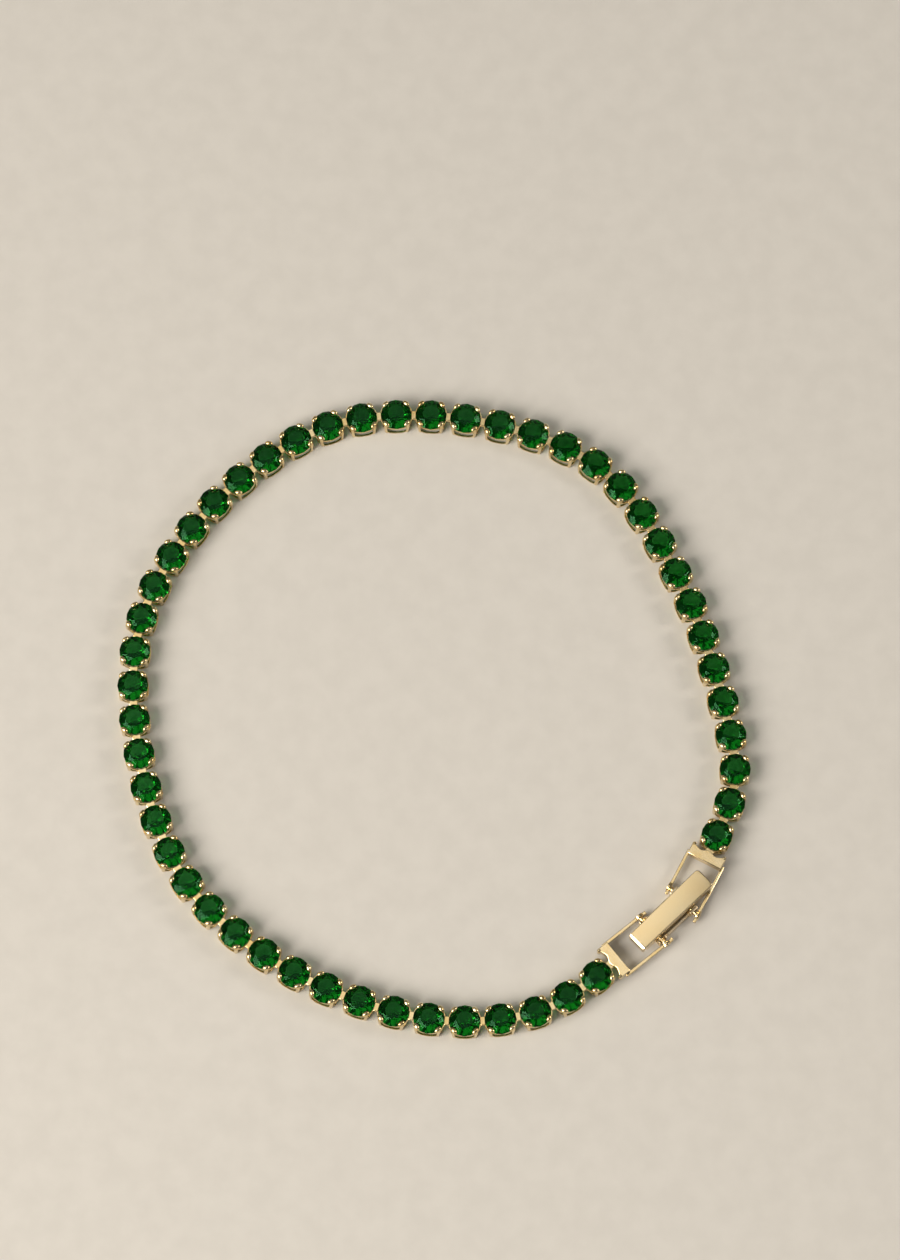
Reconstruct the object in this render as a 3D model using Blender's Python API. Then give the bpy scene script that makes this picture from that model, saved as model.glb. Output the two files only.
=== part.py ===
"""Tennis bracelet: a closed loop of fifty green stones in four-prong settings, with a fold-over clasp.

It lies on its galleries, stones up. The origin is at the middle of the loop, on the surface it lies on.
"""
import math

import bmesh
import bpy
import numpy as np
from mathutils import Matrix, Vector

mm = 0.001

# Stones and settings
stone_count = 50
stone_diameter = 3.0 * mm
stone_gap = 0.54 * mm
crown_height = 0.45 * mm
stone_seat = 0.35 * mm  # from the top of the gallery up to the stone's edge
table_share = 0.58  # of the stone's width
pavilion_share = 0.38  # of the stone's width
stone_sides = 8

# Basket under each stone
gallery_height = 1.35 * mm
gallery_rail = 0.30 * mm  # depth of the upper and the lower rail
basket_wall = 0.38 * mm
prong_width = 0.38 * mm
prong_over_table = 0.10 * mm
prong_bite = 0.10 * mm  # how far a stone's corners reach into its prongs
joint_width = 0.70 * mm  # the flat joint between two settings
joint_height = 0.40 * mm
joint_drop = 0.02 * mm  # of the joint's top below the gallery's
joint_gap = 0.16 * mm  # stretch in the middle of a joint that turns with the string
cross_rail_share = 0.6  # width of a basket's cross rail, of its prongs' width
same_place = 0.001 * mm

# Fold-over clasp
play = 0.10 * mm  # running clearance between clasp pieces
pin_spacing = 4.3 * mm
pin_diameter = 0.50 * mm
pin_height = 0.78 * mm  # of a pin's middle above the surface
frame_length = 4.4 * mm  # from a pin to the near edge of its end bar
bar_to_stone = 2.95 * mm  # from that edge to the middle of the end stone
end_bar_depth = 1.05 * mm
end_bar_height = 1.80 * mm
end_bar_floor = 0.55 * mm
claw_reach = 0.30 * mm
bar_overlap = 0.12 * mm  # of the bar's ends into the rails
peak_reach = 0.10 * mm
scallop_depth = 0.15 * mm
scallop_start, scallop_end = 0.72, 0.40  # from the bar's middle, of half its width
rail_thickness = 0.32 * mm
rail_height = 0.50 * mm
rail_tip = 0.80 * mm  # how far a rail runs past its pin
knuckle_radius = 0.50 * mm
knuckle_width = 0.38 * mm
cover_width = 2.16 * mm
cover_top = 3.2 * mm
cover_plate = 0.30 * mm
cover_flange = 0.22 * mm
cover_tail = 2.9 * mm  # how far the cover runs past the hinge side's pin
cover_nose = 2.4 * mm  # how far it runs past the other pin
cover_corner = 0.40 * mm
lip_depth = 1.5 * mm
lip_thickness = 0.25 * mm
flange_slant = 0.30 * mm
flange_clearance = 0.15 * mm  # between a frame's rails and the flanges above them
lever_pin_drop = 0.20 * mm  # from the underside of the cover's plate down to the top of the lever pin
lever_pin_inset = 0.35 * mm  # from the cover's end to the lever pin's middle
lever_wall = 0.10 * mm  # around the lever pin's hole
tray_wall = 0.18 * mm
ear_width = 0.34 * mm
tray_floor = 0.28 * mm
tray_ear = 0.50 * mm  # how far the tray's walls run past each pin
ear_rim = 0.25 * mm  # above a pin's hole
tray_dip = 0.30 * mm  # how far the walls drop between their ears
post_depth = 0.55 * mm  # of the post that carries the tongue
frame_swing_room = 0.20 * mm  # lets a frame stand askew on its pin
pin_head = 0.12 * mm  # how far the hinge pin stands out of its knuckles
lever_pin_diameter = 0.36 * mm

# Loop through the stones' middles and the clasp's pins, counter-clockwise from the clasp's hinge side
loop_points = [
    (24.9, -19.5), (26.9, -15.7), (28.2, -13.1), (30.1, -7.4), (29.3, -0.3), (24.9, 13.3), (16.9, 25.2),
    (3.7, 30.3), (-10.5, 29.6), (-21.9, 21.6), (-29.2, 9.5), (-29.3, -4.6), (-24.3, -17.8), (-13.5, -26.9),
    (0.2, -31.5), (10.4, -30.7), (16.1, -27.3), (18.3, -25.3), (21.9, -22.4),
]
steps_per_stretch = 60

# Worked out from the sizes above
link_pitch = stone_diameter + stone_gap
girdle_height = gallery_height + stone_seat
table_height = girdle_height + crown_height
prong_top = table_height + prong_over_table
prong_inside = (stone_diameter / 2 - prong_bite) * math.sqrt(0.5)  # from the middle, along and across
basket_half_width = prong_inside + basket_wall
basket_half_length = prong_inside + prong_width
joint_end = (link_pitch - joint_gap) / 2
half_cover = cover_width / 2
tray_inner = half_cover + play
tray_outer = tray_inner + tray_wall
ear_outer = tray_inner + ear_width
rail_inner = ear_outer + frame_swing_room
rail_outer = rail_inner + rail_thickness
bar_half_width = rail_inner + bar_overlap
pin_radius = pin_diameter / 2
pin_half_length = rail_inner + knuckle_width + pin_head
rail_top = pin_height + rail_height / 2
flange_bottom = rail_top + flange_clearance
lever_pin_height = cover_top - cover_plate - lever_pin_drop - lever_pin_diameter / 2
lever_pin_back = cover_tail - lever_pin_inset
lever_hole_radius = lever_pin_diameter / 2 + play / 2
lever_knuckle = lever_hole_radius + lever_wall
clasp_length = pin_spacing + 2 * (frame_length + bar_to_stone)
loop_length = (stone_count - 1) * link_pitch + clasp_length

for old in list(bpy.data.objects):
    bpy.data.objects.remove(old)


def metal_or_stone(name, colour, metallic, roughness):
    material = bpy.data.materials.new(name)
    material.use_nodes = True
    surface = material.node_tree.nodes["Principled BSDF"]
    surface.inputs["Base Color"].default_value = (*colour, 1.0)
    surface.inputs["Metallic"].default_value = metallic
    surface.inputs["Roughness"].default_value = roughness
    return material


gold = metal_or_stone("pale_gold", (0.80, 0.60, 0.28), 1.0, 0.22)
green_stone = metal_or_stone("green_stone", (0.0, 0.16, 0.04), 0.0, 0.05)


def add_object(name, mesh, parent=None):
    item = bpy.data.objects.new(name, mesh)
    bpy.context.scene.collection.objects.link(item)
    item.parent = parent
    return item


def finish_mesh(name, bm):
    bmesh.ops.recalc_face_normals(bm, faces=bm.faces)
    mesh = bpy.data.meshes.new(name)
    bm.to_mesh(mesh)
    bm.free()
    mesh.materials.append(gold)
    mesh.materials.append(green_stone)
    return mesh


def slab(name, outline, low, high, across="z"):
    """A flat outline pulled from low to high: (x, y) points pulled along z, or (x, z) points along y."""
    bm = bmesh.new()
    if across == "z":
        corners = [bm.verts.new((a, b, low)) for a, b in outline]
        pull = Vector((0.0, 0.0, high - low))
    else:
        corners = [bm.verts.new((a, low, b)) for a, b in outline]
        pull = Vector((0.0, high - low, 0.0))
    base = bm.faces.new(corners)
    grown = bmesh.ops.extrude_face_region(bm, geom=[base], use_keep_orig=True)
    moved = [item for item in grown["geom"] if isinstance(item, bmesh.types.BMVert)]
    bmesh.ops.translate(bm, verts=moved, vec=pull)
    return add_object(name, finish_mesh(name, bm))


def rectangle(x_low, x_high, y_low, y_high):
    return [(x_low, y_low), (x_high, y_low), (x_high, y_high), (x_low, y_high)]


def arc(x, z, radius, degrees):
    return [(x + radius * math.cos(math.radians(a)), z + radius * math.sin(math.radians(a))) for a in degrees]


def cross_rod(name, radius, x, z, half_length, sides=12):
    """A round rod across the clasp, its axis along y."""
    bm = bmesh.new()
    bmesh.ops.create_cone(bm, cap_ends=True, segments=sides, radius1=radius, radius2=radius,
                          depth=2 * half_length, matrix=Matrix.Rotation(math.pi / 2, 4, "X"))
    bmesh.ops.translate(bm, verts=bm.verts, vec=(x, 0.0, z))
    return add_object(name, finish_mesh(name, bm))


def shape(name, solids, cutters=()):
    """The mesh of the first solid joined with the others, less the cutters."""
    body = solids[0]
    for operation, others in (("UNION", solids[1:]), ("DIFFERENCE", cutters)):
        for other in others:
            step = body.modifiers.new(operation.lower(), "BOOLEAN")
            step.operation = operation
            step.solver = "EXACT"
            step.object = other
    graph = bpy.context.evaluated_depsgraph_get()
    mesh = bpy.data.meshes.new_from_object(body.evaluated_get(graph))
    mesh.name = name
    for item in (*solids, *cutters):
        bpy.data.objects.remove(item)
    return mesh


def round_off(mesh):
    mesh.shade_smooth()
    mesh.set_sharp_from_angle(angle=math.radians(40))


def cut_stone():
    """Round stone with a flat table, a crown of facets and a pointed pavilion, corners under the prongs."""
    bm = bmesh.new()
    rings = []
    radius = stone_diameter / 2
    for share, height in ((1.0, girdle_height), (table_share, table_height)):
        turns = [math.tau * i / stone_sides for i in range(stone_sides)]
        rings.append([bm.verts.new((share * radius * math.cos(t), share * radius * math.sin(t), height))
                      for t in turns])
    girdle, table = rings
    culet = bm.verts.new((0.0, 0.0, girdle_height - pavilion_share * stone_diameter))
    bm.faces.new(table)
    for i in range(stone_sides):
        j = (i + 1) % stone_sides
        bm.faces.new((girdle[i], girdle[j], table[j], table[i]))
        bm.faces.new((girdle[j], girdle[i], culet))
    for face in bm.faces:
        face.material_index = 1
    return add_object("stone", finish_mesh("stone", bm))


def basket_flank(side):
    """One flank of a basket: two posts that rise as prongs, the upper and lower rail, and the gap between."""
    end = basket_half_length
    inner = end - prong_width
    outline = [(-end, 0.0), (end, 0.0), (end, prong_top), (inner, prong_top), (inner, gallery_height),
               (-inner, gallery_height), (-inner, prong_top), (-end, prong_top)]
    thickness = sorted((side * (basket_half_width - basket_wall), side * basket_half_width))
    reach = sorted((side * (basket_half_width - 2 * basket_wall), side * (basket_half_width + basket_wall)))
    flank = slab("flank", outline, *thickness, across="y")
    window = slab("window", rectangle(-inner, inner, gallery_rail, gallery_height - gallery_rail),
                  *reach, across="y")
    return add_object("flank", shape("flank", [flank], [window]))


def basket_end(side):
    """Cross rail at one end of a basket, with half of the joint to the next setting."""
    rail_middle, half_rail = basket_half_length - prong_width / 2, cross_rail_share * prong_width / 2
    near, far = rail_middle - half_rail, rail_middle + half_rail
    reach = basket_half_width - basket_wall / 2
    half = joint_width / 2
    outline = [(near, -reach), (far, -reach), (far, -half), (joint_end, -half),
               (joint_end, half), (far, half), (far, reach), (near, reach)]
    top = gallery_height - joint_drop
    return slab("basket_end", [(side * x, y) for x, y in outline], top - joint_height, top)


def smooth_loop():
    """Points on a smooth closed curve through the loop's points, and the length up to each of them."""
    chosen = np.array(loop_points) * mm
    count = len(chosen)
    places = []
    for i in range(count):
        before, start, end, after = (chosen[(i + k) % count] for k in (-1, 0, 1, 2))
        reach_in, reach, reach_out = (
            np.linalg.norm(b - a) ** 0.5 for a, b in ((before, start), (start, end), (end, after))
        )
        leave = reach * ((start - before) / reach_in - (end - before) / (reach_in + reach)) + (end - start)
        arrive = (end - start) - reach * ((after - start) / (reach + reach_out) - (after - end) / reach_out)
        for u in np.arange(steps_per_stretch) / steps_per_stretch:
            places.append((2 * u**3 - 3 * u**2 + 1) * start + (u**3 - 2 * u**2 + u) * leave
                          + (3 * u**2 - 2 * u**3) * end + (u**3 - u**2) * arrive)
    places = np.array([*places, places[0]])
    places -= (places.min(axis=0) + places.max(axis=0)) / 2
    lengths = np.concatenate([[0.0], np.cumsum(np.linalg.norm(np.diff(places, axis=0), axis=1))])
    fit = loop_length / lengths[-1]
    return places * fit, lengths * fit


loop_places, loop_lengths = smooth_loop()


def on_loop(length):
    """The place on the loop this far past the clasp's hinge pin."""
    along = length % loop_length
    return Vector((*(float(np.interp(along, loop_lengths, loop_places[:, k])) for k in (0, 1)), 0.0))


def facing(start, end):
    """Placement at start with x towards end."""
    turn = math.atan2(end.y - start.y, end.x - start.x)
    return Matrix.Translation(start) @ Matrix.Rotation(turn, 4, "Z")


def string_mesh(name, link, numbers):
    """The numbered settings as one body, each joined to the next across the flat joint between them."""
    ends = {}
    for side in (-1, 1):
        ends[side] = [v.index for v in link.vertices if side * v.co.x > joint_end - same_place]
        ends[side].sort(key=lambda i: (link.vertices[i].co.z > gallery_height - joint_height / 2,
                                       link.vertices[i].co.y))
        a, b, d, c = ends[side]
        ends[side] = [a, b, c, d]
    points, faces, colours = [], [], []
    for number in numbers:
        middle = frame_length + bar_to_stone + number * link_pitch
        back, front = on_loop(middle - link_pitch / 2), on_loop(middle + link_pitch / 2)
        place = facing(back, front)
        place.translation = on_loop(middle)
        start = len(points)
        points += [place @ v.co for v in link.vertices]
        closed = {side for side, at in ((-1, numbers[0]), (1, numbers[-1])) if number == at}
        for polygon in link.polygons:
            side = next((s for s in (-1, 1) if set(polygon.vertices) <= set(ends[s])), None)
            if side is None or side in closed:
                faces.append([start + i for i in polygon.vertices])
                colours.append(polygon.material_index)
        if number > numbers[0]:
            near = [start - len(link.vertices) + i for i in ends[1]]
            far = [start + i for i in ends[-1]]
            for k in range(4):
                faces.append([near[k], near[k - 3], far[k - 3], far[k]])
                colours.append(0)
    mesh = bpy.data.meshes.new(name)
    mesh.from_pydata(points, [], faces)
    mesh.polygons.foreach_set("material_index", colours)
    mesh.materials.append(gold)
    mesh.materials.append(green_stone)
    return mesh


def build_string():
    link = shape("link", [basket_flank(1), basket_flank(-1), basket_end(1), basket_end(-1), cut_stone()])
    half = stone_count // 2
    for name, numbers in (("stone_string_right", range(half)), ("stone_string_left", range(half, stone_count))):
        add_object(name, string_mesh(name, link, numbers))
    bpy.data.meshes.remove(link)


def end_bar():
    """Bar across the end of a frame, with a claw at each corner and a peak between two scallops."""
    far = frame_length + end_bar_depth
    side = bar_half_width
    half_edge = [(far + claw_reach, side), (far, scallop_start * side),
                 (far - scallop_depth, scallop_end * side)]
    outline = [(frame_length, side), (frame_length, -side), *((x, -y) for x, y in half_edge),
               (far + peak_reach, 0.0), *reversed(half_edge)]
    return slab("bar", outline, end_bar_floor, end_bar_height)


def end_frame(name, pin, bar_edge, clasp_turn, with_crossbar):
    """End bar, two rails and their knuckles, with the pin at x = 0. The pin stays square to the clasp's tray
    while the frame stands askew on it."""
    place = facing(pin, bar_edge)
    across = place.inverted() @ Matrix.Translation(pin) @ clasp_turn
    pin_line = across.to_3x3() @ Vector((0.0, 1.0, 0.0))
    solids = [end_bar()]
    for way in (-1, 1):
        at_pin = way * (rail_inner + knuckle_width / 2) * pin_line.x / pin_line.y
        strip = sorted((way * rail_inner, way * rail_outer))
        outline = rectangle(at_pin - rail_tip, frame_length + end_bar_depth / 2, *strip)
        solids.append(slab("rail", outline, pin_height - rail_height / 2, rail_top))
        block = sorted((way * rail_inner, way * (rail_inner + knuckle_width)))
        outline = arc(at_pin, pin_height, knuckle_radius, [45 * i + 22.5 for i in range(8)])
        solids.append(slab("knuckle", outline, *block, across="y"))
    cutters = []
    if with_crossbar:
        rod = cross_rod("crossbar", pin_radius, 0.0, pin_height, rail_outer)
        solids.append(rod)
    else:
        rod = cross_rod("pin_hole", pin_radius + play / 2, 0.0, pin_height, 2 * pin_half_length)
        cutters.append(rod)
    rod.matrix_world = across
    frame = add_object(name, shape(name, solids, cutters))
    frame.matrix_world = place
    round_off(frame.data)


def build_tray(clasp):
    """Channel between the two pins: an ear at the hinge pin, an open hook for the crossbar, and a tongue that
    carries the cover's lever pin."""
    pin_room = pin_radius + play
    wall_top = pin_height + pin_room + ear_rim
    dip = wall_top - tray_dip
    start, end = -tray_ear, pin_spacing + tray_ear
    outline = [(start, 0.0), (end, 0.0), (end, wall_top), (pin_spacing - tray_ear, wall_top),
               (pin_spacing - tray_ear - tray_dip / 2, dip), (tray_ear + tray_dip / 2, dip),
               (tray_ear, wall_top), (start, wall_top)]
    floor_half = tray_outer - tray_wall / 2
    solids = [slab("floor", rectangle(start, end, -floor_half, floor_half), 0.0, tray_floor)]
    for way in (-1, 1):
        wall = sorted((way * tray_inner, way * tray_outer))
        solids.append(slab("wall", outline, *wall, across="y"))
        ear = sorted((way * tray_inner, way * ear_outer))
        for x in (0.0, pin_spacing):
            solids.append(slab("ear", rectangle(x - tray_ear, x + tray_ear, 0.0, wall_top), *ear, across="y"))
    tongue_half = half_cover - cover_flange - play
    tongue_low, tongue_top = lever_pin_height - lever_knuckle, lever_pin_height + lever_knuckle
    front = tray_ear + post_depth
    round_end = arc(-lever_pin_back, lever_pin_height, lever_knuckle, range(90, 271, 30))
    tongue = [*round_end, (tray_ear, tongue_low), (tray_ear, tray_floor / 2),
              (front, tray_floor / 2), (front, tongue_top)]
    solids.append(slab("tongue", tongue, -tongue_half, tongue_half, across="y"))
    slot = rectangle(pin_spacing - pin_room, pin_spacing + pin_room, pin_height, 2 * wall_top)
    reach = 2 * ear_outer
    cutters = [cross_rod("pin_hole", pin_room, 0.0, pin_height, reach),
               cross_rod("catch_seat", pin_room, pin_spacing, pin_height, reach),
               slab("catch_slot", slot, -reach, reach, across="y"),
               cross_rod("lever_hole", lever_hole_radius, -lever_pin_back, lever_pin_height, reach)]
    tray = add_object("clasp_tray", shape("clasp_tray", solids, cutters), clasp)
    round_off(tray.data)


def build_cover(clasp):
    """Long cover plate with a folded flange on each side and a turned-down lip, on its lever pin's axis."""
    back = lever_pin_back - cover_tail
    nose = lever_pin_back + pin_spacing + cover_nose
    top = cover_top - lever_pin_height
    under = top - cover_plate
    corner = arc(back + cover_corner, half_cover - cover_corner, cover_corner, (90, 120, 150, 180))
    outline = [(nose, half_cover), *corner, *((x, -y) for x, y in reversed(corner)), (nose, -half_cover)]
    solids = [slab("plate", outline, under, top)]
    rim = flange_bottom - lever_pin_height
    inside_plate = under + cover_plate / 2
    flange_end = nose - lip_thickness
    flange = [(-lever_knuckle, rim), (flange_end - flange_slant, rim), (flange_end, inside_plate),
              (-lever_knuckle, inside_plate)]
    for way in (-1, 1):
        fold = sorted((way * (half_cover - cover_flange), way * half_cover))
        solids.append(slab("flange", flange, *fold, across="y"))
    solids.append(slab("lip", rectangle(nose - lip_thickness, nose, top - lip_depth, top),
                       -half_cover, half_cover, across="y"))
    hole = cross_rod("lever_hole", lever_hole_radius, 0.0, 0.0, cover_width)
    cover = add_object("clasp_cover", shape("clasp_cover", solids, [hole]), clasp)
    cover.location = (-lever_pin_back, 0.0, lever_pin_height)
    round_off(cover.data)


def build_pin(name, radius, x, z, half_length, clasp):
    pin = cross_rod(name, radius, 0.0, 0.0, half_length, sides=16)
    pin.parent = clasp
    pin.location = (x, 0.0, z)
    round_off(pin.data)


def build_clasp():
    hinge_side, catch_side = on_loop(0.0), on_loop(-pin_spacing)
    clasp = add_object("clasp_place", None)
    clasp.matrix_world = facing(hinge_side, catch_side)
    turn = clasp.matrix_world.to_3x3().to_4x4()
    end_frame("hinge_frame", hinge_side, on_loop(frame_length), turn, with_crossbar=False)
    end_frame("catch_frame", catch_side, on_loop(-pin_spacing - frame_length), turn, with_crossbar=True)
    build_tray(clasp)
    build_cover(clasp)
    build_pin("hinge_pin", pin_radius, 0.0, pin_height, pin_half_length, clasp)
    build_pin("lever_pin", lever_pin_diameter / 2, -lever_pin_back, lever_pin_height, half_cover, clasp)


build_string()
build_clasp()
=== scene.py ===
import math

import bmesh
import bpy
import numpy as np
from mathutils import Matrix, Vector


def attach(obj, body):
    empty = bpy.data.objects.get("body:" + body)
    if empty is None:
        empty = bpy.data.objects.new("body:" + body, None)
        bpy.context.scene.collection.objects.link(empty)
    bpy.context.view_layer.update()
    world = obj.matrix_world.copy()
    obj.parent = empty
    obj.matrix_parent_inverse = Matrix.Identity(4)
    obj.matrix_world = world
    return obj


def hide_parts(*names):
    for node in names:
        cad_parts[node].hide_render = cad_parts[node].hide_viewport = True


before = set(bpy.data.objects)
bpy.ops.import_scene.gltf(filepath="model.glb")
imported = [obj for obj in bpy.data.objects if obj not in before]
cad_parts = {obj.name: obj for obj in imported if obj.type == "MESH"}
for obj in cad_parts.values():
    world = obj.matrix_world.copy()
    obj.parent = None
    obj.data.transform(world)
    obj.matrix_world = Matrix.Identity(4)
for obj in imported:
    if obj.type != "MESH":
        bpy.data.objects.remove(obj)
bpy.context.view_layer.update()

scene = bpy.context.scene
mm = 0.001


print("camera, floor and light")

# long lens from above: lengths in mm, tilt in degrees
shot = {"place": (1.67, -121.6, 487.5), "tilt": 15.0, "focal": 142.86, "filmWidth": 36.0,
        "nearest": 10.0, "farthest": 20000.0}
studio = {
    "floorSize": 4000.0, "floorColour": "#cfccc6", "fibreColour": "#cbc8c2", "fibre": 2.5, "floorRough": 0.9,
    "skyHigh": "#8f9294", "skyLow": "#c9c7c3", "skyStrength": 0.40,
    "keyPlace": (-405.0, -230.0, 420.0), "keySize": 420.0, "keyPower": 5.0,
    "topPlace": (-68.0, 112.0, 640.0), "topSize": 270.0, "topPower": 0.26,
    "sidePlace": (420.0, 60.0, 300.0), "sideSize": 160.0, "sidePower": 0.7,
    "lightColour": "#fff6ea",
}


def linear(hexColour):
    values = [int(hexColour[i:i + 2], 16) / 255 for i in (1, 3, 5)]
    return [v / 12.92 if v <= 0.04045 else ((v + 0.055) / 1.055) ** 2.4 for v in values]


def addNode(tree, kind, values=None, links=None, **settings):
    node = tree.nodes.new(kind)
    for key, value in settings.items():
        setattr(node, key, value)
    for socket, value in (values or {}).items():
        node.inputs[socket].default_value = value
    for socket, source in (links or {}).items():
        tree.links.new(source, node.inputs[socket])
    return node


def softbox(name, place, size, power):
    light = bpy.data.lights.new(name, "AREA")
    light.shape = "SQUARE"
    light.size = size * mm
    light.energy = power
    light.color = linear(studio["lightColour"])
    item = bpy.data.objects.new(name, light)
    item.location = Vector(place) * mm
    item.rotation_euler = (-item.location).to_track_quat("-Z", "Y").to_euler()   # towards the loop's middle
    scene.collection.objects.link(item)


cameraData = bpy.data.cameras.new("camera")
cameraData.sensor_width = shot["filmWidth"]
cameraData.lens = shot["focal"]
cameraData.clip_start = shot["nearest"] * mm
cameraData.clip_end = shot["farthest"] * mm
camera = bpy.data.objects.new("camera", cameraData)
camera.location = Vector(shot["place"]) * mm
camera.rotation_euler = (math.radians(shot["tilt"]), 0.0, 0.0)
scene.collection.objects.link(camera)
scene.camera = camera

softbox("keySoftbox", studio["keyPlace"], studio["keySize"], studio["keyPower"])
softbox("topSoftbox", studio["topPlace"], studio["topSize"], studio["topPower"])
softbox("sideSoftbox", studio["sidePlace"], studio["sideSize"], studio["sidePower"])

sky = bpy.data.worlds.new("studioAir")
scene.world = sky
sky.use_nodes = True
skyTree = sky.node_tree
skyTree.nodes.clear()
skyWay = addNode(skyTree, "ShaderNodeTexCoord")
skyHeight = addNode(skyTree, "ShaderNodeSeparateXYZ", links={"Vector": skyWay.outputs["Generated"]})
skyColour = addNode(skyTree, "ShaderNodeMix", data_type="RGBA", links={"Factor": skyHeight.outputs["Z"]})
skyColour.inputs["A"].default_value = (*linear(studio["skyLow"]), 1.0)
skyColour.inputs["B"].default_value = (*linear(studio["skyHigh"]), 1.0)
skyLight = addNode(skyTree, "ShaderNodeBackground", {"Strength": studio["skyStrength"]},
                   {"Color": skyColour.outputs["Result"]})
addNode(skyTree, "ShaderNodeOutputWorld", links={"Surface": skyLight.outputs["Background"]})


print("materials")


def newMaterial(name):
    material = bpy.data.materials.new(name)
    material.use_nodes = True
    tree = material.node_tree
    return material, tree, tree.nodes["Principled BSDF"]


def twoTone(tree, pattern, first, second, low=0.35, high=0.65):
    spread = addNode(tree, "ShaderNodeMapRange", {"From Min": low, "From Max": high}, {"Value": pattern})
    colour = addNode(tree, "ShaderNodeMix", data_type="RGBA", links={"Factor": spread.outputs["Result"]})
    colour.inputs["A"].default_value = (*linear(first), 1.0)
    colour.inputs["B"].default_value = (*linear(second), 1.0)
    return colour.outputs["Result"]


# each gold: two tones, size of its clouds and its scratches in mm, roughness where smooth and worn, ripple
# 14 carat yellow gold, polished: warm pale mirror, a little softer where it has been handled
polishedGold = {"light": "#f4e2b8", "deep": "#e6cd98", "cloud": 1.6, "scratch": 0.05,
                "smooth": 0.12, "worn": 0.24, "ripple": 0.05}
# the cover, rolled flat and buffed: even and mirror-like, with a soft blur
coverGold = {"light": "#f2dfb4", "deep": "#ebd4a4", "cloud": 4.0, "scratch": 0.20,
             "smooth": 0.16, "worn": 0.22, "ripple": 0.04}
# the same gold, cast and tumbled: slightly rippled, so that wires sparkle unevenly
castGold = {"light": "#f2dfb0", "deep": "#dabd80", "cloud": 2.2, "scratch": 0.09,
            "smooth": 0.14, "worn": 0.28, "ripple": 0.35}
# the same gold, left satin under the cover and soft; its colour is painted paler than the other golds as
# painted light, so that it still shows in the cover's shade
paleLitSatinGold = {"light": "#f7ead0", "deep": "#ead4a8", "cloud": 1.1, "scratch": 0.07,
             "smooth": 0.36, "worn": 0.50, "ripple": 0.30}
rippleDepth = 0.01   # mm


def goldFinish(name, finish):
    material, tree, surface = newMaterial(name)
    place = addNode(tree, "ShaderNodeTexCoord").outputs["Object"]
    cloud = addNode(tree, "ShaderNodeTexNoise", {"Scale": 1 / (finish["cloud"] * mm), "Detail": 3.0},
                    {"Vector": place})
    grain = addNode(tree, "ShaderNodeTexNoise", {"Scale": 1 / (finish["scratch"] * mm), "Detail": 2.0},
                    {"Vector": place})
    rough = addNode(tree, "ShaderNodeMapRange", {"To Min": finish["smooth"], "To Max": finish["worn"]},
                    {"Value": cloud.outputs["Fac"]})
    bump = addNode(tree, "ShaderNodeBump", {"Strength": finish["ripple"], "Distance": rippleDepth * mm},
                   {"Height": grain.outputs["Fac"]})
    tree.links.new(twoTone(tree, cloud.outputs["Fac"], finish["deep"], finish["light"]),
                   surface.inputs["Base Color"])
    tree.links.new(rough.outputs["Result"], surface.inputs["Roughness"])
    tree.links.new(bump.outputs["Normal"], surface.inputs["Normal"])
    surface.inputs["Metallic"].default_value = 1.0
    return material


goldPolished = goldFinish("goldPolished", polishedGold)
goldCover = goldFinish("goldCoverPlate", coverGold)
goldCast = goldFinish("goldCast", castGold)
goldSatinPaintedLit = goldFinish("goldSatinPaintedLit", paleLitSatinGold)

# emerald green glass, cut and polished, faintly hazy: deep bottle green through the table, brighter where
# light comes back up, and its glints are green as well
glassSetting = {"ior": 1.58, "tint": "#5cb066", "tintDeep": "#3c944a", "absorbed": (0.30, 0.78, 0.43),
                "density": 1350.0, "vein": 0.9, "haze": (0.02, 0.12), "glint": (0.07, 0.27, 0.13)}


def emeraldGlass():
    material, tree, surface = newMaterial("emeraldGlassCut")
    place = addNode(tree, "ShaderNodeTexCoord").outputs["Object"]
    vein = addNode(tree, "ShaderNodeTexNoise", {"Scale": 1 / (glassSetting["vein"] * mm), "Detail": 4.0},
                   {"Vector": place})
    clear, dull = glassSetting["haze"]
    haze = addNode(tree, "ShaderNodeMapRange", {"To Min": clear, "To Max": dull},
                   {"Value": vein.outputs["Fac"]})
    tree.links.new(twoTone(tree, vein.outputs["Fac"], glassSetting["tintDeep"], glassSetting["tint"]),
                   surface.inputs["Base Color"])
    tree.links.new(haze.outputs["Result"], surface.inputs["Roughness"])
    surface.inputs["IOR"].default_value = glassSetting["ior"]
    surface.inputs["Transmission Weight"].default_value = 1.0
    surface.inputs["Specular Tint"].default_value = (*glassSetting["glint"], 1.0)
    inside = addNode(tree, "ShaderNodeVolumeAbsorption", {"Density": glassSetting["density"]})
    inside.inputs["Color"].default_value = (*glassSetting["absorbed"], 1.0)
    tree.links.new(inside.outputs["Volume"], tree.nodes["Material Output"].inputs["Volume"])
    return material


emerald = emeraldGlass()

floorMaterial, floorTree, floorSurface = newMaterial("paperFloor")   # matt pale paper, faint fibre
floorPlace = addNode(floorTree, "ShaderNodeTexCoord").outputs["Object"]
floorFibre = addNode(floorTree, "ShaderNodeTexNoise", {"Scale": 1 / (studio["fibre"] * mm), "Detail": 4.0},
                     {"Vector": floorPlace})
paperColour = twoTone(floorTree, floorFibre.outputs["Fac"], studio["fibreColour"], studio["floorColour"])
floorTree.links.new(paperColour, floorSurface.inputs["Base Color"])
floorSurface.inputs["Roughness"].default_value = studio["floorRough"]

floorHalf = studio["floorSize"] * mm / 2
floorMesh = bpy.data.meshes.new("floor")
floorMesh.from_pydata([(-floorHalf, -floorHalf, 0), (floorHalf, -floorHalf, 0), (floorHalf, floorHalf, 0),
                       (-floorHalf, floorHalf, 0)], [], [(0, 1, 2, 3)])
floorMesh.materials.append(floorMaterial)
floor = bpy.data.objects.new("floor", floorMesh)
scene.collection.objects.link(floor)


print("route of the stones")

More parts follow.
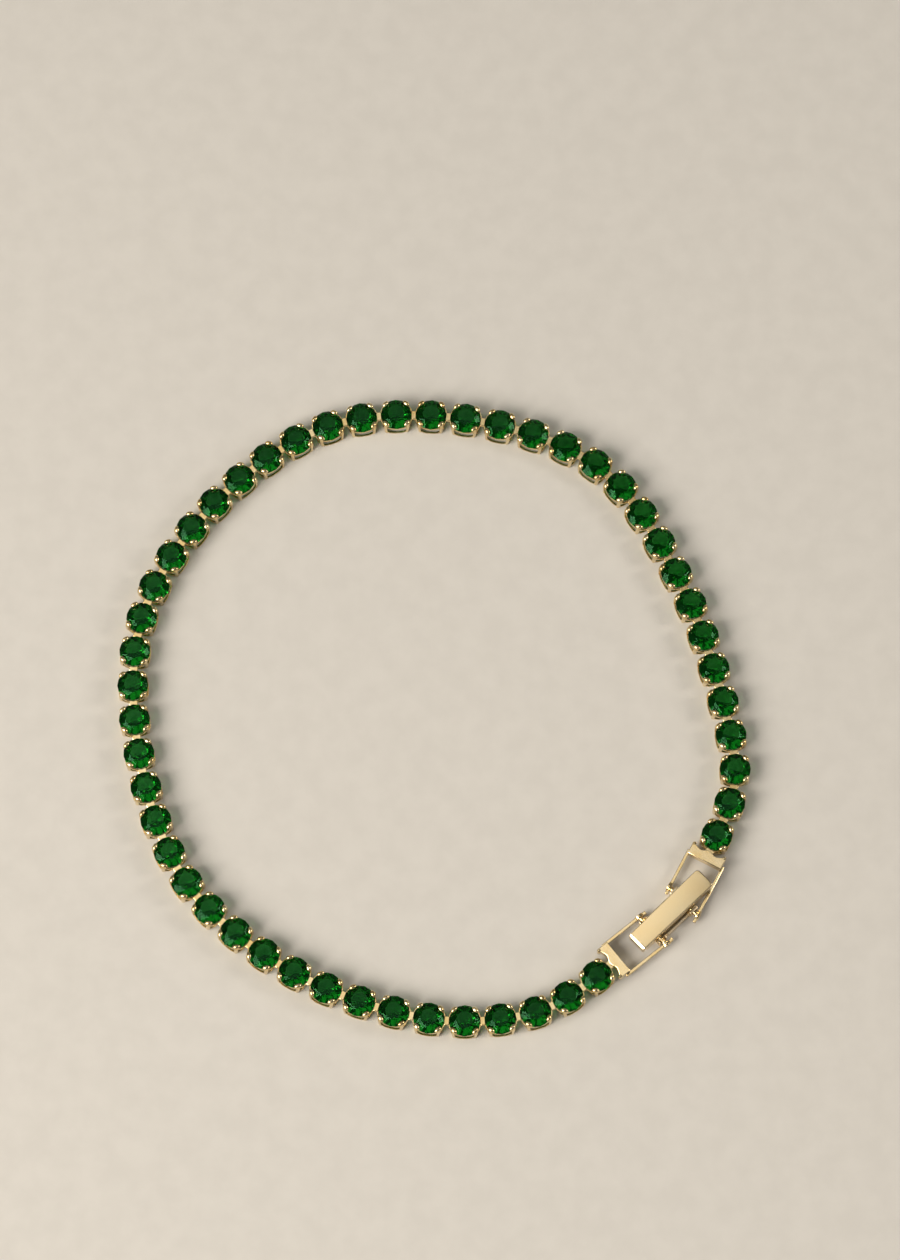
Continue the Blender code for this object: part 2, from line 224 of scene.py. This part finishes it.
# lengths in mm; the loop starts at the hinge pin, runs round past the stones to the catch pin, and closes
# through the tray
route = {
    "points": [
        (24.9, -19.5), (26.9, -15.7), (28.2, -13.1), (30.1, -7.4), (29.3, -0.3), (24.9, 13.3), (16.9, 25.2),
        (3.7, 30.3), (-10.5, 29.6), (-21.9, 21.6), (-29.2, 9.5), (-29.3, -4.6), (-24.3, -17.8),
        (-13.5, -26.9), (0.2, -31.5), (10.4, -30.7), (16.1, -27.3), (18.3, -25.3), (21.9, -22.4),
    ],
    "steps": 60, "stones": 50, "pitch": 3.54, "jointReach": 0.5,
    "pinSpacing": 4.3, "frameLength": 4.4, "barToStone": 2.95,
}
loopLength = ((route["stones"] - 1) * route["pitch"] + route["pinSpacing"]
              + 2 * (route["frameLength"] + route["barToStone"]))


def bendLoop():
    chosen = np.array(route["points"])
    count = len(chosen)
    shares = np.arange(route["steps"]) / route["steps"]
    places = []
    for i in range(count):
        before, start, end, after = (chosen[(i + k) % count] for k in (-1, 0, 1, 2))
        reachIn, reach, reachOut = (np.linalg.norm(b - a) ** 0.5
                                    for a, b in ((before, start), (start, end), (end, after)))
        leave = reach * ((start - before) / reachIn - (end - before) / (reachIn + reach)) + (end - start)
        arrive = (end - start) - reach * ((after - start) / (reach + reachOut) - (after - end) / reachOut)
        for u in shares:
            places.append((2 * u**3 - 3 * u**2 + 1) * start + (u**3 - 2 * u**2 + u) * leave
                          + (3 * u**2 - 2 * u**3) * end + (u**3 - u**2) * arrive)
    places = np.array([*places, places[0]])
    places -= (places.min(axis=0) + places.max(axis=0)) / 2
    lengths = np.concatenate([[0.0], np.cumsum(np.linalg.norm(np.diff(places, axis=0), axis=1))])
    fit = loopLength / lengths[-1]
    return places * fit, lengths * fit


loopPlaces, loopLengths = bendLoop()


def onLoop(length):
    along = length % loopLength
    return Vector((*(float(np.interp(along, loopLengths, loopPlaces[:, k])) for k in (0, 1)), 0.0))


def towards(start, end):
    turn = math.atan2(end.y - start.y, end.x - start.x)
    return Matrix.Translation(start) @ Matrix.Rotation(turn, 4, "Z")


def onString(number, reach):
    # whole numbers are stones, halves are the joints between them
    middle = route["frameLength"] + route["barToStone"] + number * route["pitch"]
    place = towards(onLoop(middle - reach), onLoop(middle + reach))
    place.translation = onLoop(middle)
    return place


def stonePlace(number):
    return onString(number, route["pitch"] / 2)


def jointPlace(number):
    return onString(number + 0.5, route["jointReach"])


# a shell is a list of points in mm and a list of faces
def joinShells(shells):
    points, faces, start = [], [], 0
    for shellPoints, shellFaces in shells:
        points.append(np.array(shellPoints, float).reshape(-1, 3))
        faces += [[start + i for i in face] for face in shellFaces]
        start += len(points[-1])
    return np.concatenate(points), faces


def turnedShell(shell, place):
    points, faces = shell
    grid = np.array(place)
    return np.array(points, float) @ grid[:3, :3].T + grid[:3, 3], faces


def copyShell(shell, places):
    return joinShells([turnedShell(shell, place) for place in places])


def shellOf(bm):
    shell = [tuple(v.co) for v in bm.verts], [[v.index for v in face.verts] for face in bm.faces]
    bm.free()
    return shell


def newMesh(name, points, faces):
    # with every face turned outwards
    mesh = bpy.data.meshes.new(name)
    mesh.from_pydata(points, [], faces)
    bm = bmesh.new()
    bm.from_mesh(mesh)
    bmesh.ops.recalc_face_normals(bm, faces=bm.faces)
    bm.to_mesh(mesh)
    bm.free()
    return mesh


flatOver = 0.25   # mm2: faces above this are truly flat, so they keep their own normal


def makePiece(name, shell, materials, body, replaced=(), smooth=None):
    points, faces = shell
    mesh = newMesh(name, (np.array(points) * mm).tolist(), faces)
    for material in materials:
        mesh.materials.append(material)
    if smooth:
        mesh.shade_smooth()
        mesh.set_sharp_from_angle(angle=math.radians(smooth))
        for face in mesh.polygons:
            face.use_smooth = face.area < flatOver * mm**2
    piece = bpy.data.objects.new(name, mesh)
    scene.collection.objects.link(piece)
    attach(piece, body)
    if replaced:
        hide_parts(*replaced)
    print("  ", name, len(mesh.vertices), "points")
    return piece


def rounded(halfLength, halfWidth, power, count, start=0.0):
    # power 2 is an ellipse, more makes its corners squarer
    points = []
    for k in range(count):
        turn = start + math.tau * k / count
        c, s = math.cos(turn), math.sin(turn)
        points.append((halfLength * math.copysign(abs(c) ** (2 / power), c),
                       halfWidth * math.copysign(abs(s) ** (2 / power), s)))
    return points


def loft(points, sides, closed=False):
    # a skin over rings of points; an open row of rings gets flat ends
    rows = len(points) // sides
    faces = []
    for i in range(rows if closed else rows - 1):
        j = (i + 1) % rows
        for k in range(sides):
            n = (k + 1) % sides
            faces.append([i * sides + k, i * sides + n, j * sides + n, j * sides + k])
    if not closed:
        faces += [list(range(sides)), list(range((rows - 1) * sides, rows * sides))]
    return points, faces


def sweep(path, profiles, up, closed=False):
    path = [Vector(p) for p in path]
    count = len(path)
    points = []
    for i, middle in enumerate(path):
        ahead = path[(i + 1) % count] if closed or i + 1 < count else path[i]
        behind = path[i - 1] if closed or i > 0 else path[i]
        side = (ahead - behind).cross(Vector(up)).normalized()
        lift = side.cross(ahead - behind).normalized()
        points += [tuple(middle + a * side + b * lift) for a, b in profiles[i]]
    return loft(points, len(profiles[0]), closed)


def curvedPath(points, steps):
    points = [Vector(p) for p in points]
    path = []
    for i in range(len(points) - 1):
        before, start = points[max(i - 1, 0)], points[i]
        end, after = points[i + 1], points[min(i + 2, len(points) - 1)]
        bend = 2 * before - 5 * start + 4 * end - after
        twist = 3 * start - before - 3 * end + after
        for k in range(steps):
            u = k / steps
            path.append(0.5 * (2 * start + (end - before) * u + bend * u**2 + twist * u**3))
    return [*path, points[-1]]


print("stones")

# the reaches are shares of the radius, at the inner corners of the star facets and of the lower facets
cutStone = {
    "radius": 1.56, "tableShare": 0.56, "girdleLow": 1.68, "girdleHigh": 1.73, "top": 2.15, "bottom": 0.58,
    "starReach": 0.80, "lowerReach": 0.30,
}


def cutRound():
    radius, low, high = cutStone["radius"], cutStone["girdleLow"], cutStone["girdleHigh"]
    tableRadius = radius * cutStone["tableShare"]
    slope = (cutStone["top"] - high) / (radius - tableRadius)
    mainDrop = (low - cutStone["bottom"]) / radius
    half = math.tau / 16
    starRadius, lowerRadius = radius * cutStone["starReach"], radius * cutStone["lowerReach"]
    starHeight = high + (radius - starRadius * math.cos(half)) * slope
    lowerHeight = low - (radius - lowerRadius * math.cos(half)) * mainDrop

    def ring(reach, height, count, start=0.0):
        turns = [start + math.tau * k / count for k in range(count)]
        return [(reach * math.cos(turn), reach * math.sin(turn), height) for turn in turns]

    points = [*ring(tableRadius, cutStone["top"], 8), *ring(starRadius, starHeight, 8, half),
              *ring(radius, high, 16), *ring(radius, low, 16), *ring(lowerRadius, lowerHeight, 8, half),
              (0.0, 0.0, cutStone["bottom"])]
    table, star, upper, lower, keel, culet = 0, 8, 16, 32, 48, 56   # where each ring starts
    faces = [[table + k for k in range(8)]]
    for k in range(8):
        n, m = (k + 1) % 8, (k - 1) % 8
        faces.append([table + k, star + k, table + n])
        faces.append([table + k, star + m, upper + 2 * k, star + k])
        faces.append([star + k, upper + 2 * k, upper + 2 * k + 1])
        faces.append([star + k, upper + 2 * k + 1, upper + (2 * k + 2) % 16])
        faces.append([culet, keel + m, lower + 2 * k, keel + k])
        faces.append([keel + k, lower + 2 * k + 1, lower + 2 * k])
        faces.append([keel + k, lower + (2 * k + 2) % 16, lower + 2 * k + 1])
    for k in range(16):
        n = (k + 1) % 16
        faces.append([upper + k, lower + k, lower + n, upper + n])
    return np.array(points), faces


stonePlaces = [stonePlace(number) for number in range(route["stones"])]
makePiece("emerald_stones", copyShell(cutRound(), stonePlaces), [emerald], "bracelet")


print("baskets and joints")

basket = {
    "upperHalfLength": 1.55, "upperHalfWidth": 1.37, "upperWire": (0.11, 0.15), "upperMiddle": 1.27,
    "lowerHalfLength": 1.33, "lowerHalfWidth": 1.41, "lowerWire": (0.11, 0.13), "lowerMiddle": 0.13,
    "upperCorner": 2.4, "lowerCorner": 3.2, "steps": 48, "wireCorner": 3.0, "wireSides": 8,
    "prongPath": [(1.06, 1.25, 0.06), (1.10, 1.25, 0.70), (1.13, 1.24, 1.30), (1.15, 1.20, 1.70),
                  (1.11, 1.13, 1.92)],
    "prongAcross": 0.20, "prongDeep": 0.15, "prongSides": 10, "prongSteps": 3,
    "tip": (1.05, 1.05, 2.00), "tipSize": (0.25, 0.40, 0.22),   # towards the stone's middle, across, up
    "jointHalfLength": 0.27, "jointHalfWidth": 0.45, "jointLow": 0.98, "jointHigh": 1.50, "jointSoft": 0.07,
    "endJointReach": 0.42,
}


def wireRing(halfLength, halfWidth, wire, height, corner):
    outline = rounded(halfLength, halfWidth, corner, basket["steps"])
    profile = rounded(*wire, basket["wireCorner"], basket["wireSides"], math.pi / basket["wireSides"])
    return sweep([(x, y, height) for x, y in outline], [profile] * len(outline), (0, 0, 1), closed=True)


def bead(middle, size, rings=8, sides=12):
    turns = [math.tau * k / sides for k in range(sides)]
    points = [(0.0, 0.0, -1.0)]
    for i in range(1, rings):
        fall = math.pi * i / rings
        points += [(math.sin(fall) * math.cos(turn), math.sin(fall) * math.sin(turn), -math.cos(fall))
                   for turn in turns]
    points.append((0.0, 0.0, 1.0))
    last = len(points) - 1
    faces = []
    for k in range(sides):
        n = (k + 1) % sides
        faces.append([0, 1 + n, 1 + k])
        faces.append([last, last - sides + k, last - sides + n])
        for i in range(rings - 2):
            a = 1 + i * sides
            faces.append([a + k, a + n, a + sides + n, a + sides + k])
    turn = math.atan2(middle[1], middle[0])
    c, s = math.cos(turn), math.sin(turn)
    points = np.array(points) * size
    x, y = points[:, 0].copy(), points[:, 1].copy()
    points[:, 0], points[:, 1] = x * c - y * s, x * s + y * c
    return points + middle, faces


def prong():
    path = curvedPath([*basket["prongPath"], basket["tip"]], basket["prongSteps"])
    profile = rounded(basket["prongAcross"], basket["prongDeep"], 2.0, basket["prongSides"])
    return sweep(path, [profile] * len(path), (1, 1, 0))


def mirrored(shell, alongSide, acrossSide):
    points, faces = shell
    return np.array(points) * (alongSide, acrossSide, 1), faces


def bevelledBlock(low, high, bevel):
    bm = bmesh.new()
    bmesh.ops.create_cube(bm, size=1.0)
    for v in bm.verts:
        v.co = [low[k] + (v.co[k] + 0.5) * (high[k] - low[k]) for k in range(3)]
    bmesh.ops.bevel(bm, geom=bm.edges[:], offset=bevel, segments=2, profile=0.5, affect="EDGES")
    return shellOf(bm)


def basketShell():
    shells = [wireRing(basket["upperHalfLength"], basket["upperHalfWidth"], basket["upperWire"],
                       basket["upperMiddle"], basket["upperCorner"]),
              wireRing(basket["lowerHalfLength"], basket["lowerHalfWidth"], basket["lowerWire"],
                       basket["lowerMiddle"], basket["lowerCorner"])]
    for alongSide in (-1, 1):
        for acrossSide in (-1, 1):
            shells.append(mirrored(prong(), alongSide, acrossSide))
            shells.append(mirrored(bead(basket["tip"], basket["tipSize"]), alongSide, acrossSide))
    return joinShells(shells)


def jointShell(reachBack, reachOn):
    return bevelledBlock((-reachBack, -basket["jointHalfWidth"], basket["jointLow"]),
                         (reachOn, basket["jointHalfWidth"], basket["jointHigh"]), basket["jointSoft"])


jointPlaces = [jointPlace(number) for number in range(route["stones"] - 1)]
jointHalf, endReach = basket["jointHalfLength"], basket["endJointReach"]
settings = joinShells([
    copyShell(basketShell(), stonePlaces),
    copyShell(jointShell(jointHalf, jointHalf), jointPlaces),
    turnedShell(jointShell(endReach, jointHalf), jointPlace(-1)),
    turnedShell(jointShell(jointHalf, endReach), jointPlace(route["stones"] - 1)),
])
makePiece("prong_settings", settings, [goldCast], "bracelet", ("stone_string_right", "stone_string_left"),
          smooth=40)


print("clasp")

# x runs along the clasp from the hinge pin to the catch, y across it, z up
clasp = {
    "pin": 0.25, "pinHeight": 0.78, "pinHalfLength": 2.22, "pinDome": 0.10,
    "leverPin": 0.18, "leverBack": 2.55, "leverHeight": 2.52, "leverKnuckle": 0.33, "leverHole": 0.23,
    "leverDome": 0.04,
}
claspPlace = towards(onLoop(0.0), onLoop(-route["pinSpacing"]))
claspTurn = claspPlace.to_3x3().to_4x4()


def prism(outline, low, high, bevel, across="z"):
    bm = bmesh.new()
    spread = (lambda a, b, c: (a, b, c)) if across == "z" else (lambda a, b, c: (a, c, b))
    first = [bm.verts.new(spread(a, b, low)) for a, b in outline]
    second = [bm.verts.new(spread(a, b, high)) for a, b in outline]
    bm.faces.new(first)
    bm.faces.new(list(reversed(second)))
    for k in range(len(outline)):
        n = (k + 1) % len(outline)
        bm.faces.new((first[k], second[k], second[n], first[n]))
    bmesh.ops.recalc_face_normals(bm, faces=bm.faces)
    if bevel:
        sharp = [edge for edge in bm.edges if edge.calc_face_angle(0.0) > math.radians(35)]
        bmesh.ops.bevel(bm, geom=sharp, offset=bevel, segments=2, profile=0.5, affect="EDGES",
                        clamp_overlap=True)
    return shellOf(bm)


def box(xLow, xHigh, yLow, yHigh):
    return [(xLow, yLow), (xHigh, yLow), (xHigh, yHigh), (xLow, yHigh)]


def arc(low, high, step):
    return [(math.cos(math.radians(a)), math.sin(math.radians(a))) for a in range(low, high, step)]


def rod(middle, stations, sides=32):
    # a round rod along y: (place along y, radius) at each station
    points = []
    for along, radius in stations:
        points += [(middle[0] + radius * math.cos(math.tau * k / sides), along,
                    middle[1] + radius * math.sin(math.tau * k / sides)) for k in range(sides)]
    return loft(points, sides)


def domed(low, high, radius, dome):
    rise = [(dome * (1 - c), radius - dome * (1 - s)) for c, s in arc(0, 91, 30)]
    return [*((low + along, reach) for along, reach in rise),
            *((high - along, reach) for along, reach in reversed(rise))]


def fused(solids, cutters=(), within=()):
    items = []
    for points, faces in (*solids, *cutters, *within):
        items.append(bpy.data.objects.new("work", newMesh("work", [tuple(p) for p in points], faces)))
        scene.collection.objects.link(items[-1])
    kinds = ["UNION"] * len(solids) + ["DIFFERENCE"] * len(cutters) + ["INTERSECT"] * len(within)
    for item, kind in list(zip(items, kinds))[1:]:
        step = items[0].modifiers.new("work", "BOOLEAN")
        step.operation, step.solver, step.object = kind, "EXACT", item
    mesh = bpy.data.meshes.new_from_object(items[0].evaluated_get(bpy.context.evaluated_depsgraph_get()))
    shell = [tuple(v.co) for v in mesh.vertices], [list(face.vertices) for face in mesh.polygons]
    for item in items:
        bpy.data.objects.remove(item)
    return shell


# x runs from the frame's pin out to its bar; cornerOut and cornerBack are shares of the claws' reach, and
# clawDome is a share of the claws' radius
endFrame = {
    "barDepth": 1.05, "barLow": 0.55, "barTop": 1.80, "barHalf": 1.84, "barSoft": 0.06,
    "scallops": [(0.00, 0.10), (0.36, 0.00), (0.74, -0.16), (1.10, -0.08), (1.42, 0.06)],   # across, out
    "cornerOut": 0.62, "cornerBack": 0.30, "cornerIn": 0.16,
    "clawReach": 0.30, "clawRadius": 0.20, "clawDome": 0.75, "clawRise": 0.06, "clawBeside": 0.02,
    "railInner": 1.72, "railOuter": 2.04, "railLow": 0.53, "railTop": 1.03, "railTip": 0.80, "railSoft": 0.05,
    "knuckle": 0.50, "knuckleWidth": 0.38, "knuckleDome": 0.06,
}


def barOutline(near, far):
    half, reach = endFrame["barHalf"], endFrame["clawReach"]
    waves = [(far + out, side) for side, out in endFrame["scallops"]]
    waves = [*((x, -y) for x, y in reversed(waves[1:])), *waves]
    waves = [(p.x, p.y) for p in curvedPath([(x, y, 0) for x, y in waves], 4)]
    corner = [(far + reach * endFrame["cornerOut"], half - endFrame["cornerIn"]),
              (far + reach * endFrame["cornerBack"], half)]
    return [(near, half), (near, -half), *((x, -y) for x, y in reversed(corner)), *waves, *corner]


def frameShell(pinAt, barAt, withCrossbar):
    place = towards(pinAt, barAt)
    askew = place.inverted() @ Matrix.Translation(pinAt) @ claspTurn   # the pin stays square to the tray
    pinLine = askew.to_3x3() @ Vector((0.0, 1.0, 0.0))
    depth, barLow, barTop = endFrame["barDepth"], endFrame["barLow"], endFrame["barTop"]
    near, far = route["frameLength"], route["frameLength"] + depth
    inner, outer, wide = endFrame["railInner"], endFrame["railOuter"], endFrame["knuckleWidth"]
    claw = endFrame["clawRadius"]
    clawEnds = domed(barLow, barTop + endFrame["clawRise"], claw, claw * endFrame["clawDome"])
    solids = [prism(barOutline(near, far), barLow, barTop, endFrame["barSoft"])]
    for way in (-1, 1):
        beside = way * (endFrame["barHalf"] - claw + endFrame["clawBeside"])
        solids.append(turnedShell(rod((0.0, 0.0), clawEnds, 20),
                                  Matrix.Translation((far + endFrame["clawReach"] - claw, beside, 0.0))
                                  @ Matrix.Rotation(math.pi / 2, 4, "X")))
        atPin = way * (inner + wide / 2) * pinLine.x / pinLine.y
        low, high = sorted((way * inner, way * outer))
        solids.append(prism(box(atPin - endFrame["railTip"], near + depth / 2, low, high),
                            endFrame["railLow"], endFrame["railTop"], endFrame["railSoft"]))
        low, high = sorted((way * inner, way * (inner + wide)))
        solids.append(rod((atPin, clasp["pinHeight"]),
                          domed(low, high, endFrame["knuckle"], endFrame["knuckleDome"])))
    if withCrossbar:
        ends = [(-outer, clasp["pin"]), (outer, clasp["pin"])]
        solids.append(turnedShell(rod((0.0, clasp["pinHeight"]), ends, 24), askew))
    return turnedShell(fused(solids), place)


tray = {
    "inner": 1.18, "outer": 1.36, "wallTop": 1.38, "wallSoft": 0.05, "dip": 0.30,
    "earOuter": 1.52, "earReach": 0.50, "earSoft": 0.08,
    "floor": 0.28, "floorInset": 0.09, "floorSoft": 0.03,
    "post": (0.50, 1.05), "tongueHalf": 0.76, "tongueSoft": 0.03, "holeRoom": 0.10, "through": 3.0,
}


def trayShell():
    reach, dip, wallTop, floorTop = tray["earReach"], tray["dip"], tray["wallTop"], tray["floor"]
    inner, outer, spacing = tray["inner"], tray["outer"], route["pinSpacing"]
    start, end = -reach, spacing + reach
    wall = [(start, 0.0), (end, 0.0), (end, wallTop), (spacing - reach, wallTop),
            (spacing - reach - dip / 2, wallTop - dip), (reach + dip / 2, wallTop - dip), (reach, wallTop),
            (start, wallTop)]
    solids = [prism(box(start, end, -outer + tray["floorInset"], outer - tray["floorInset"]), 0.0, floorTop,
                    tray["floorSoft"])]
    for way in (-1, 1):
        solids.append(prism(wall, *sorted((way * inner, way * outer)), tray["wallSoft"], "y"))
        for x in (0.0, spacing):
            solids.append(prism(box(x - reach, x + reach, 0.0, wallTop),
                                *sorted((way * inner, way * tray["earOuter"])), tray["earSoft"], "y"))
    leverX, high, radius = -clasp["leverBack"], clasp["leverHeight"], clasp["leverKnuckle"]
    back, front = tray["post"]
    tongue = [(leverX + radius * c, high + radius * s) for c, s in arc(90, 271, 15)]
    tongue += [(back, high - radius), (back, floorTop / 2), (front, floorTop / 2), (front, high + radius)]
    solids.append(prism(tongue, -tray["tongueHalf"], tray["tongueHalf"], tray["tongueSoft"], "y"))
    room, through, hole = clasp["pin"] + tray["holeRoom"], tray["through"], clasp["leverHole"]
    cutters = [rod((x, clasp["pinHeight"]), [(-through, room), (through, room)]) for x in (0.0, spacing)]
    cutters.append(prism(box(spacing - room, spacing + room, clasp["pinHeight"], through), -through, through,
                         0.0, "y"))   # the hook is open upwards
    cutters.append(rod((leverX, high), [(-through, hole), (through, hole)]))
    return turnedShell(fused(solids, cutters), claspPlace)


# x is measured from the cover's own pin
coverShape = {
    "tail": -0.35, "nose": 9.25, "half": 1.11, "noseHalf": 1.03, "corner": 0.40, "noseCorner": 0.16,
    "top": 3.2, "under": 2.9, "edge": 0.07, "noseEdge": 0.25, "noseFall": 0.6, "crown": 0.015, "bow": 0.03,
    "flangeLow": 1.18, "flange": 0.22, "overlap": 0.12, "lip": 1.5, "lipThickness": 0.25, "slant": 0.30,
    "stations": 24, "tailGap": 0.6, "noseGap": 0.4, "rows": 6, "rimRow": 0.97,
    "spare": 0.2, "beyond": 0.5, "through": 2.0,   # how far the working blocks reach past the cover
}


def coverPlate():
    tailX, noseX, edge = coverShape["tail"], coverShape["nose"], coverShape["edge"]
    top, under, noseEdge = coverShape["top"], coverShape["under"], coverShape["noseEdge"]
    curve = [1 - c for c, s in arc(0, 91, 10)]
    stations = sorted({*(tailX + coverShape["corner"] * share for share in curve),
                       *np.linspace(tailX + coverShape["tailGap"], noseX - coverShape["noseGap"],
                                    coverShape["stations"]),
                       *(noseX - coverShape["noseCorner"] * share for share in curve), noseX - noseEdge})
    middle = (tailX + noseX) / 2
    rows, rimRow = coverShape["rows"], coverShape["rimRow"]
    flatRows = [rimRow, *(1 - k / rows for k in range(1, 2 * rows)), -rimRow]
    rim = [(edge * (1 - c), edge * (1 - s)) for c, s in arc(0, 91, 15)]
    points = []
    for x in stations:
        along = (x - tailX) / (noseX - tailX)
        half = coverShape["half"] + (coverShape["noseHalf"] - coverShape["half"]) * along
        for end, corner in ((x - tailX, coverShape["corner"]), (noseX - x, coverShape["noseCorner"])):
            if end < corner:
                half -= corner - math.sqrt(max(corner**2 - (corner - end)**2, 0.0))
        drop = coverShape["bow"] * ((x - middle) / (noseX - middle))**2
        if x - tailX < edge:
            drop += edge - math.sqrt(max(edge**2 - (edge - x + tailX)**2, 0.0))
        if noseX - x < noseEdge:
            drop += (noseEdge - noseX + x) * coverShape["noseFall"]
        section = [(half, under), *((half - side, top - drop - fall) for side, fall in rim),
                   *(((half - edge) * share, top - drop) for share in flatRows),
                   *((-half + side, top - drop - fall) for side, fall in reversed(rim)), (-half, under)]
        points += [(x, y, z - (coverShape["crown"] * (y / half)**2 if z > under else 0.0))
                   for y, z in section]
    return loft(points, len(section))


def coverPlan():
    tailX, noseX, half, noseHalf = (coverShape[key] for key in ("tail", "nose", "half", "noseHalf"))
    r, q = coverShape["corner"], coverShape["noseCorner"]
    side = [(tailX + r - r * s, half - r + r * c) for c, s in reversed(arc(0, 91, 15))]
    side += [(noseX - q + q * s, noseHalf - q + q * c) for c, s in arc(0, 91, 15)]
    return [*side, *((x, -y) for x, y in reversed(side))]


def coverShell():
    pinHeight, knuckle, hole = clasp["leverHeight"], clasp["leverKnuckle"], clasp["leverHole"]
    low, noseX, spare, through = (coverShape[key] for key in ("flangeLow", "nose", "spare", "through"))
    inside = coverShape["under"] + coverShape["overlap"]
    flangeEnd = noseX - coverShape["lipThickness"]
    flange = [(-knuckle, inside), (-knuckle, pinHeight),
              *((-knuckle * c, low + knuckle - knuckle * s) for c, s in arc(0, 91, 15)),
              (flangeEnd - coverShape["slant"], low), (flangeEnd, inside)]
    plan = prism(coverPlan(), low - coverShape["beyond"], inside + coverShape["beyond"], 0.0)
    inner, outer = coverShape["noseHalf"] - coverShape["flange"], coverShape["half"] + spare
    flanges = [fused([prism(flange, *sorted((way * inner, way * outer)), 0.0, "y")], [], [plan])
               for way in (-1, 1)]
    lipBlock = prism(box(flangeEnd, noseX + spare, -through, through), coverShape["top"] - coverShape["lip"],
                     inside, 0.0)
    lip = fused([lipBlock], [], [plan])
    pinHole = rod((0.0, pinHeight), [(-through, hole), (through, hole)], 24)
    shell = fused([coverPlate(), *flanges, lip], [pinHole])
    return turnedShell(shell, claspPlace @ Matrix.Translation((-clasp["leverBack"], 0.0, 0.0)))


def pinShell(x, height, radius, halfLength, dome):
    return turnedShell(rod((x, height), domed(-halfLength, halfLength, radius, dome)), claspPlace)


spacing, frameLength = route["pinSpacing"], route["frameLength"]
makePiece("frame_by_hinge", frameShell(onLoop(0.0), onLoop(frameLength), False), [goldPolished], "bracelet",
          ("hinge_frame",), smooth=20)
makePiece("frame_by_catch", frameShell(onLoop(-spacing), onLoop(-spacing - frameLength), True),
          [goldPolished], "bracelet", ("catch_frame",), smooth=20)
# the tray takes the paler satin gold: painted light against the cover's shade
makePiece("tray_channel", trayShell(), [goldSatinPaintedLit], "bracelet", ("clasp_tray",), smooth=20)
makePiece("cover_plate", coverShell(), [goldCover], "cover", ("clasp_cover",), smooth=35)
makePiece("pin_of_hinge", pinShell(0.0, clasp["pinHeight"], clasp["pin"],
                                   clasp["pinHalfLength"], clasp["pinDome"]),
          [goldPolished], "bracelet", ("hinge_pin",), smooth=35)
makePiece("pin_of_cover", pinShell(-clasp["leverBack"], clasp["leverHeight"], clasp["leverPin"],
                                   coverShape["half"], clasp["leverDome"]),
          [goldPolished], "bracelet", ("lever_pin",), smooth=35)

scene.view_settings.view_transform = "Standard"
